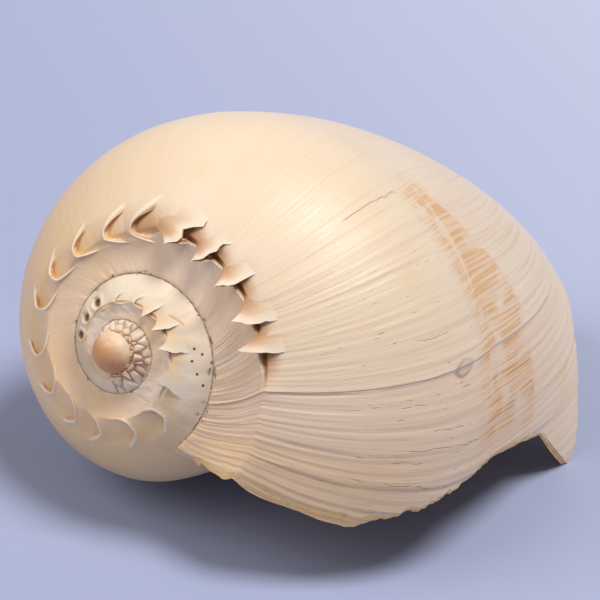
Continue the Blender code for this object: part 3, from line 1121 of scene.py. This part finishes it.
# The step of the last plate, cracks, nicks and the outline of the scar.
def thinLines(tree, at, scar):
    theta, s = at.theta, at.s
    plate = times(tree, crack(tree, theta, s, *marked["plate"]), 0.55)
    chips = speckle(tree, at.growth, (130.0, 44.0, 1.0), 1.0, 5.0)
    nicks = times(tree, rising(tree, chips, 0.71, 0.78), within(tree, theta, -1.0, -0.06, 0.15),
                  within(tree, s, 0.25, 0.50, 0.05))
    faint = rising(tree, speckle(tree, at.growth, (30.0, 60.0, 1.0), 2.0, 1.0), 0.35, 0.55, 0.8)
    thin = sums(tree, "MAXIMUM", plate, times(tree, nicks, 0.6))
    for line in marked["cracks"]:
        broken = times(tree, faint, crack(tree, at.wavy, s, *line), 0.7)
        thin = sums(tree, "MAXIMUM", thin, broken)
    middle = spot(tree, at.wavy, s, *marked["scarMiddle"])
    around = times(tree, scar, sums(tree, "SUBTRACT", 1.0, middle))
    return sums(tree, "MAXIMUM", thin, times(tree, around, 0.8))


def outsideMaterial():
    tree, shader = startMaterial("outside")
    c = outside
    at = SimpleNamespace()
    at.growth, at.theta, at.s = mapOf(tree, "growth")
    at.hollow, at.rim = mapOf(tree, "marks")[1:]
    here = objectPlace(tree)
    wander = sums(tree, "MULTIPLY_ADD", speckle(tree, at.growth, (6.0, 40.0, 1.0), 3.0, 4.0),
                  0.03, -0.015)
    at.wavy = sums(tree, "ADD", at.theta, wander)
    at.newest = rising(tree, at.theta, -0.565, -0.545)
    at.cloud = speckle(tree, here, (28.0, 28.0, 28.0), 3.0, 5.0)
    at.fine = speckle(tree, at.growth, (95.0, 3.0, 1.0), 3.0, 2.0, 0.6)

    colour = bodyColours(tree, at, speckle(tree, here, (11.0, 11.0, 11.0), 2.0, 1.0))
    colour = orangeBand(tree, at, colour)
    colour = spineColours(tree, at, colour)
    scar = spot(tree, at.wavy, at.s, *marked["scar"])
    thin = thinLines(tree, at, scar)
    seamsAndPitShadeMask = seamsAndPitShade(tree, at)
    colour = laid(tree, colour, c["grey"], scar, 0.35)
    colour = laid(tree, colour, c["umber"], thin)
    colour = laid(tree, colour, c["brown"], seamsAndPitShadeMask)
    slanted = sums(tree, "MULTIPLY_ADD", at.s, marked["strokeSlant"], at.theta)
    colour = laid(tree, colour, c["orange"], spot(tree, slanted, at.s, *marked["stroke"]), 0.8)
    tree.links.new(colour, shader.inputs["Base Color"])

    least, more = c["gloss"]
    gloss = sums(tree, "MULTIPLY_ADD", at.fine, more, least)
    gloss = sums(tree, "ADD", gloss, times(tree, rising(tree, at.theta, -0.62, -0.5), 0.12))
    gloss = sums(tree, "ADD", gloss, times(tree, rising(tree, at.hollow, 0.1, 0.6), 0.2))
    tree.links.new(gloss, shader.inputs["Roughness"])
    finer = speckle(tree, at.growth, (260.0, 9.0, 1.0), 2.0, 6.0, 0.6)
    pores = speckle(tree, here, (900.0, 900.0, 900.0), 2.0, 2.0)
    height = sums(tree, "ADD", times(tree, finer, 0.6), times(tree, pores, 0.25))
    lines = sums(tree, "MAXIMUM", seamsAndPitShadeMask, thin)
    height = sums(tree, "SUBTRACT", height, times(tree, lines, 1.2))
    bumpOf(tree, shader, height, c["bump"])
    print("outside painted:", len(tree.nodes), "nodes")


inside = {
    "peach": (0.72, 0.47, 0.32),
    "pale": (0.80, 0.62, 0.47),
    "tan": (0.52, 0.27, 0.15),
}


def insideMaterial():
    tree, shader = startMaterial("inside")
    c = inside
    turnAt, turn = mapOf(tree, "growth")[:2]
    here = objectPlace(tree)
    cloud = speckle(tree, here, (16.0, 16.0, 16.0), 3.0, 3.0)
    lines = speckle(tree, turnAt, (60.0, 6.0, 1.0), 3.0, 5.0)
    colour = tint(tree, rising(tree, cloud, 0.35, 0.65), c["peach"], c["pale"])
    colour = laid(tree, colour, c["tan"], rising(tree, lines, 0.5, 0.75, 0.35))
    # Painted shade: it turns tan further in from the lip, deep inside the whorl.
    colour = laid(tree, colour, c["tan"], rising(tree, turn, -1.5, -4.5, 0.5))
    tree.links.new(colour, shader.inputs["Base Color"])
    tree.links.new(sums(tree, "MULTIPLY_ADD", cloud, 0.2, 0.18), shader.inputs["Roughness"])
    bumpOf(tree, shader, lines, 0.00015)


brokenEdge = {
    "gold": (0.95, 0.54, 0.17),
    "pale": (0.95, 0.79, 0.52),
    "brown": (0.42, 0.19, 0.07),
}


def brokenEdgeMaterial():
    tree, shader = startMaterial("brokenEdge")
    c = brokenEdge
    growthAt = mapOf(tree, "growth")[0]
    layers = speckle(tree, growthAt, (420.0, 14.0, 1.0), 2.0, 7.0)
    chips = speckle(tree, objectPlace(tree), (420.0, 420.0, 420.0), 2.0, 2.0)
    colour = tint(tree, rising(tree, layers, 0.38, 0.62), c["gold"], c["pale"])
    colour = laid(tree, colour, c["brown"], rising(tree, chips, 0.58, 0.75, 0.35))
    gaps = speckle(tree, growthAt, (300.0, 7.0, 1.0), 1.0, 3.0)
    colour = laid(tree, colour, c["brown"], rising(tree, gaps, 0.60, 0.68, 0.6))
    tree.links.new(colour, shader.inputs["Base Color"])
    shader.inputs["Roughness"].default_value = 0.55
    bumpOf(tree, shader, sums(tree, "ADD", layers, chips), 0.0003)


firstWhorl = {
    "orange": (0.62, 0.30, 0.13),
    "cream": (0.82, 0.62, 0.42),
    "across": (-0.0586, 0.0325, -0.0662),    # from its pale side to its orange one
}


def firstWhorlMaterial():
    tree, shader = startMaterial("firstWhorl")
    c = firstWhorl
    here = objectPlace(tree)
    dot = tree.nodes.new("ShaderNodeVectorMath")
    dot.operation = "DOT_PRODUCT"
    tree.links.new(here, dot.inputs[0])
    way = Vector(c["across"]).normalized()
    dot.inputs[1].default_value = way
    middle = way.dot(Vector(coil["stand"]) * mm)
    shade = sums(tree, "SUBTRACT", dot.outputs["Value"], middle)
    cloud = speckle(tree, here, (260.0, 260.0, 260.0), 3.0, 4.0)
    shade = sums(tree, "ADD", shade, sums(tree, "MULTIPLY_ADD", cloud, 0.008, -0.004))
    colour = tint(tree, rising(tree, shade, -0.006, 0.004), c["cream"], c["orange"])
    tree.links.new(colour, shader.inputs["Base Color"])
    shader.inputs["Roughness"].default_value = 0.42
    bumpOf(tree, shader, cloud, 0.0003)


room = {
    "floor": (0.36, 0.41, 0.61),
    # lighter floor colour: painted light
    "floorLitFar": (0.56, 0.60, 0.78),
    "backdrop": (0.48, 0.53, 0.76),
    "air": (1.00, 0.90, 0.84),
    "airLevel": 0.21,
    "half": 6.0,                # half the floor's side, m
    "topLamp": (-80.0, 74.0, 24.0, 2.45, (1.0, 0.98, 0.95)),
    "leftLamp": (140.0, 38.0, 45.0, 1.25, (1.0, 0.95, 0.88)),
}


# A lamp far away: azimuth, elevation and how wide it looks in degrees, strength, colour.
def softSun(name):
    azimuth, elevation, spreadAngle, strength, colour = room[name]
    lamp = bpy.data.lights.new(name, "SUN")
    lamp.angle = math.radians(spreadAngle)
    lamp.energy = strength
    lamp.color = colour
    obj = bpy.data.objects.new(name, lamp)
    az, el = math.radians(azimuth), math.radians(elevation)
    way = Vector((math.cos(el) * math.cos(az), math.cos(el) * math.sin(az), math.sin(el)))
    obj.matrix_world = way.to_track_quat("Z", "Y").to_matrix().to_4x4()
    bpy.context.scene.collection.objects.link(obj)


def makeRoom():
    bm = bmesh.new()
    bmesh.ops.create_grid(bm, x_segments=1, y_segments=1, size=room["half"])
    material = bpy.data.materials.new("paper")
    material.use_nodes = True
    tree = material.node_tree
    shader = tree.nodes["Principled BSDF"]
    parts = tree.nodes.new("ShaderNodeSeparateXYZ")
    tree.links.new(objectPlace(tree), parts.inputs[0])
    # Painted light: the floor is coloured lighter along one way across it, as if the lamps lit
    # that side more.
    aside = times(tree, parts.outputs["Y"], -0.7)
    far = sums(tree, "MULTIPLY_ADD", parts.outputs["X"], 1.0, aside)
    tree.links.new(tint(tree, rising(tree, far, -0.2, 0.9), room["floor"], room["floorLitFar"]),
                   shader.inputs["Base Color"])
    shader.inputs["Roughness"].default_value = 0.8
    shader.inputs["Specular IOR Level"].default_value = 0.2
    finish("floor", bm, material)
    world = bpy.data.worlds.new("room")
    bpy.context.scene.world = world
    world.use_nodes = True
    tree = world.node_tree
    background = tree.nodes["Background"]
    rays = tree.nodes.new("ShaderNodeLightPath")
    seen = sums(tree, "MAXIMUM", rays.outputs["Is Camera Ray"], rays.outputs["Is Glossy Ray"])
    tree.links.new(tint(tree, seen, tuple(v * room["airLevel"] for v in room["air"]),
                        room["backdrop"]), background.inputs["Color"])
    background.inputs["Strength"].default_value = 1.0
    softSun("topLamp")
    softSun("leftLamp")


piece = makeShell()
outsideMaterial()
insideMaterial()
brokenEdgeMaterial()
firstWhorlMaterial()
print("inside, broken edge and first whorl painted")
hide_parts("shell")
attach(piece, "root")
print("shell:", len(piece.data.polygons), "faces")
makeRoom()
placeCamera()
bpy.context.scene.view_settings.view_transform = "Standard"
print("room, lamps and camera are set")
